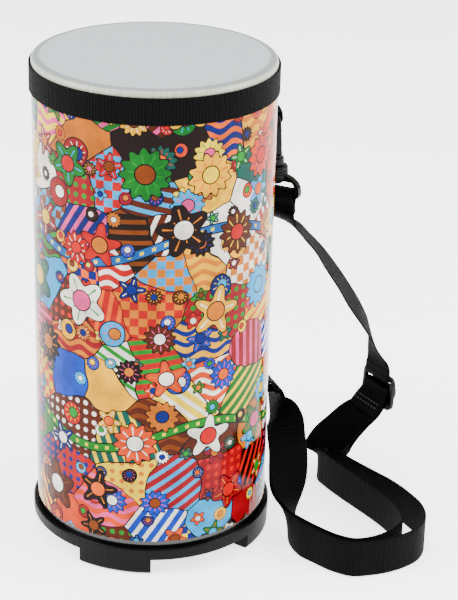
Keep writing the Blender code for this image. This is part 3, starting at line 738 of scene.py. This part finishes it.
UPPER_TOP, UPPER_LEG = 0, 19
RUN_END = WEAVE + 3
pieces = {
    "strap_upper_fold": ribbon("strap_upper_fold", UPPER_TOP, UPPER_LEG),
    "strap_run": ribbon("strap_run", UPPER_LEG, RUN_END, 0.9),
    "strap_weave": ribbon("strap_weave", WEAVE, WEAVE + 12),
    "strap_outer_lead": ribbon("strap_outer_lead", WEAVE + 12, WEAVE + 16),
    "strap_outer": ribbon("strap_outer", WEAVE + 16, RISE),
    "strap_outer_rise": ribbon("strap_outer_rise", RISE, LOWER_FOLD),
    "strap_lower_fold": ribbon("strap_lower_fold", LOWER_FOLD, LOWER_FOLD_END),
    "strap_inner_rise": ribbon("strap_inner_rise", LOWER_FOLD_END, INNER),
    "strap_inner": ribbon("strap_inner", INNER, INNER_END),
    "strap_inner_lead": ribbon("strap_inner_lead", INNER_END, SEWN),
    "strap_sewn_end": ribbon("strap_sewn_end", SEWN, len(STRAP) - 1),
}
P = pieces
upper_legs = seam_rows((RUN[19 * PER][3] - 1.2, RUN[19 * PER][3] - 4.2), 1.0)
upper_short = seam_rows((1.2, 4.2), 1.0)
pieces["strap_upper_stitches"] = stitches("strap_upper_stitches", upper_legs + upper_short)
sewn_tail = seam_rows((STRAP_LENGTH - 5.5, STRAP_LENGTH - 8.5), 1.0)
pieces["strap_sewn_stitches"] = stitches("strap_sewn_stitches", sewn_tail)

up_z = UPPER_LOOP.col[2].xyz.normalized()
low_y = LOWER_LOOP.col[1].xyz.normalized()
bar_up, bar_low = at(UPPER_LOOP, 0, 0, BAR_Z), at(LOWER_LOOP, 0, 0, BAR_Z)
for n in ("strap_upper_fold", "strap_upper_stitches"):
    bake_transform(P[n], "upper_loop", "upper_hook", (bar_up - up_z * 2.0) * MM, (bar_up - up_z * 10.0) * MM)
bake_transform(P["strap_run"], "upper_hook", "drum", station(UPPER_LEG + 1), station(WEAVE - 4))
for n in ("strap_weave", "strap_sewn_end", "strap_sewn_stitches"):
    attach(P[n], "slider")
for n in ("strap_outer", "strap_inner"):
    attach(P[n], "drum")
lead = (at(SLIDER, 0.0, -6.0, -11.0) * MM, Vector((121.0, 61.0, 23.0)) * MM)
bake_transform(P["strap_outer_lead"])
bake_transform(P["strap_inner_lead"])
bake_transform(P["strap_lower_fold"], "lower_loop", "lower_hook", (bar_low - low_y * 3.0) * MM, (bar_low - low_y * 9.0) * MM)
rise = (Vector((90.0, -26.0, 18.0)) * MM, Vector((86.0, 54.0, 60.0)) * MM)
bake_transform(P["strap_outer_rise"])
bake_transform(P["strap_inner_rise"])
for n, o in pieces.items():
    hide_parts("strap")

# the tabs: each CAD tab's mesh is copied to a new object in place, and the CAD tab is hidden
for side, near, far in (("upper", 264.0, 274.5), ("lower", 22.5, 16.4)):
    flat_tab = NODES[f"{side}_tab"]
    tab = bpy.data.objects.new(f"{side}_tab_webbing", flat_tab.data.copy())
    tab.matrix_world = flat_tab.matrix_world.copy()
    bpy.context.scene.collection.objects.link(tab)
    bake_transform(tab)
    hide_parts(f"{side}_tab")


def declare(first, last):
    line = line_of(first, last)
    long = (RUN[last * PER][3] - RUN[first * PER][3]) * MM


declare(UPPER_LEG, RUN_END)
declare(WEAVE + 16, RISE)
declare(INNER, INNER_END)

# ------------------------------------------------------------------ floor, light and camera
floor_mesh = bpy.data.meshes.new("studio_floor")
floor_mesh.from_pydata([(-5, -5, 0), (5, -5, 0), (5, 5, 0), (-5, 5, 0)], [], [(0, 1, 2, 3)])
floor = bpy.data.objects.new("studio_floor", floor_mesh)
bpy.context.scene.collection.objects.link(floor)
pale = Look("studio_paper")
pale.link("Base Color", pale.mix(pale.noise(3.0, 2.0), (0.93, 0.93, 0.93), (0.95, 0.95, 0.95)))
pale.set(Roughness=0.7, Specular_IOR_Level=0.2, Emission_Strength=2.4)
floor_mesh.materials.append(pale.mat)

world = bpy.data.worlds.new("studio")
bpy.context.scene.world = world
world.use_nodes = True
sky = world.node_tree.nodes["Background"]
sky.inputs["Color"].default_value = (1.0, 1.0, 1.0, 1.0)
sky.inputs["Strength"].default_value = 1.3


def softbox(name, place, target, size, power, tall=None):
    light = bpy.data.lights.new(name, "AREA")
    light.shape = "RECTANGLE"
    light.size, light.size_y = size, tall or size
    light.energy = power
    obj = bpy.data.objects.new(name, light)
    obj.location = place
    obj.rotation_mode = "QUATERNION"
    obj.rotation_quaternion = (Vector(target) - Vector(place)).to_track_quat("-Z", "Y")
    bpy.context.scene.collection.objects.link(obj)
    return obj


softbox("key_left", (-1.0, -0.35, 0.75), (0.0, 0.0, 0.15), 0.7, 20.0, 0.9)
softbox("key_right", (1.1, -0.2, 0.7), (0.05, 0.0, 0.15), 0.7, 20.0, 0.9)
softbox("top", (0.0, -0.1, 1.4), (0.03, 0.0, 0.1), 0.9, 18.0)

camera_data = bpy.data.cameras.new("photo_camera")
camera_data.sensor_width = 36.0
camera_data.lens = 115.60
camera_data.clip_start, camera_data.clip_end = 0.05, 50.0
camera = bpy.data.objects.new("photo_camera", camera_data)
bpy.context.scene.collection.objects.link(camera)
CAM_D, CAM_EL, CAM_ROLL = 1.1946, math.radians(23.670), math.radians(1.481)
aim = Vector((0.047134, 0.0, 0.15309))
camera.location = aim + Vector((0.0, -math.cos(CAM_EL), math.sin(CAM_EL))) * CAM_D
camera.rotation_mode = "QUATERNION"
camera.rotation_quaternion = (aim - camera.location).to_track_quat("-Z", "Y") @ Quaternion((0.0, 0.0, 1.0), CAM_ROLL)
bpy.context.scene.camera = camera
